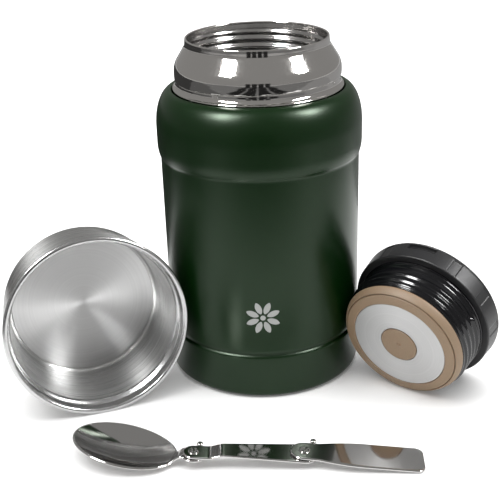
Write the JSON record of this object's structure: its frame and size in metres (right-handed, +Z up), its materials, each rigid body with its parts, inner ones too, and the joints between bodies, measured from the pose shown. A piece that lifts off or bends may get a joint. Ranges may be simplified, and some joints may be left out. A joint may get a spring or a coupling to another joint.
{
  "type": "insulated food jar",
  "caption": "Wide-mouthed vacuum food jar shown open, with its double-walled steel cup, a threaded stopper with a vent and a lidded compartment, and a folding spoon.",
  "frame": {"origin": "centre of the jar's base, on the table", "axes": "+Z up along the jar's axis, -Y to the front, where the spoon lies, +X to the right, where the stopper leans"},
  "size_m": [0.2522, 0.1706, 0.1763],
  "materials": {
    "green_coat": "satin powder coat, dark green",
    "plain_steel": "bare steel",
    "black_rubber": "matt black rubber",
    "polished_steel": "mirror-polished stainless steel",
    "brushed_steel": "spun and brushed stainless steel",
    "copper_foil": "thin foil",
    "black_plastic": "satin black polypropylene",
    "gloss_black": "glossy black polypropylene",
    "foam": "rigid foam",
    "tan_silicone": "matt tan silicone"
  },
  "bodies": {
    "jar": {"outer_shell": "green_coat", "base_cup": "green_coat", "base_plate": "plain_steel", "evac_seal": "plain_steel", "foot_pad": "black_rubber", "neck_band": "polished_steel", "lip_ring": "polished_steel", "vessel_mouth": "polished_steel", "vessel_body": "polished_steel", "foil_wrap": "copper_foil", "getter_can": "plain_steel"},
    "cup": {"cup_shell": "brushed_steel", "cup_liner": "brushed_steel", "cup_lip": "polished_steel"},
    "stopper": {"stopper_cap": "black_plastic", "stopper_barrel": "gloss_black", "foam_core": "foam", "steel_disc": "brushed_steel", "main_gasket": "tan_silicone", "cover_pin": "plain_steel"},
    "cover": {"cap_cover": "black_plastic"},
    "vent": {"vent_plug": "tan_silicone", "vent_stem": "plain_steel", "vent_button": "black_plastic"},
    "bowl": {"spoon_bowl": "polished_steel", "bowl_rivet": "polished_steel"},
    "link": {"spoon_link": "polished_steel", "handle_rivet": "polished_steel"},
    "handle": {"spoon_handle": "polished_steel"}
  },
  "joints": [
    {"name": "cup_lift", "type": "slide", "parent": "jar", "child": "cup", "axis": [0, 0, 1], "range_m": [0, 0.25]},
    {"name": "stopper_lift", "type": "slide", "parent": "jar", "child": "stopper", "axis": [0.394, -0.3078, 0.866], "range_m": [0, 0.2]},
    {"name": "cover_hinge", "type": "hinge", "parent": "stopper", "child": "cover", "pos_m": [0.09141, -0.01839, 0.00412], "axis": [-0.808, 0.5892, 0], "range_deg": [0, 100]},
    {"name": "vent_press", "type": "slide", "parent": "stopper", "child": "vent", "axis": [-0.5705, -0.7824, -0.2497], "range_m": [0, 0.002], "stiffness_N_per_m": 400, "springref_m": -0.002},
    {"name": "spoon_lift", "type": "slide", "parent": "jar", "child": "bowl", "axis": [0, 0, 1], "range_m": [0, 0.2]},
    {"name": "link_fold", "type": "hinge", "parent": "bowl", "child": "link", "pos_m": [-0.0349, -0.1061, 0.00558], "axis": [0.085, 0, 0.9964], "range_deg": [-193.2, 0]},
    {"name": "handle_fold", "type": "hinge", "parent": "link", "child": "handle", "pos_m": [0.01592, -0.1061, 0.00124], "axis": [0.085, 0, 0.9964], "range_deg": [-176.5, 0]}
  ]
}
